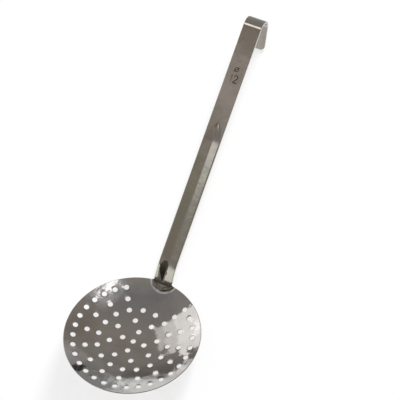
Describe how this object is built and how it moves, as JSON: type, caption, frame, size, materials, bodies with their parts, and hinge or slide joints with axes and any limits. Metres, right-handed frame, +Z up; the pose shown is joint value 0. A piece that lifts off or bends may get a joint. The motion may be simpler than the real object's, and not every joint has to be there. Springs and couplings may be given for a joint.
{
  "type": "kitchen skimmer",
  "caption": "Shallow round perforated steel dish on a grooved strip handle, bent back at its end into a hanging hook.",
  "frame": {"origin": "on the table, below the middle of the whole part's box", "axes": "+X along the table from the dish to the hook, +Z up from the table, with the part lying as it rests: on the dish's rim below the handle and on the end of the hook. It is symmetric about the X-Z plane."},
  "size_m": [0.349, 0.12, 0.0592],
  "materials": {
    "dish": "polished",
    "handle": "polished",
    "spot_welds": "polished"
  },
  "bodies": {
    "root": {"dish": "dish", "handle": "handle", "spot_welds": "spot_welds"}
  },
  "joints": []
}
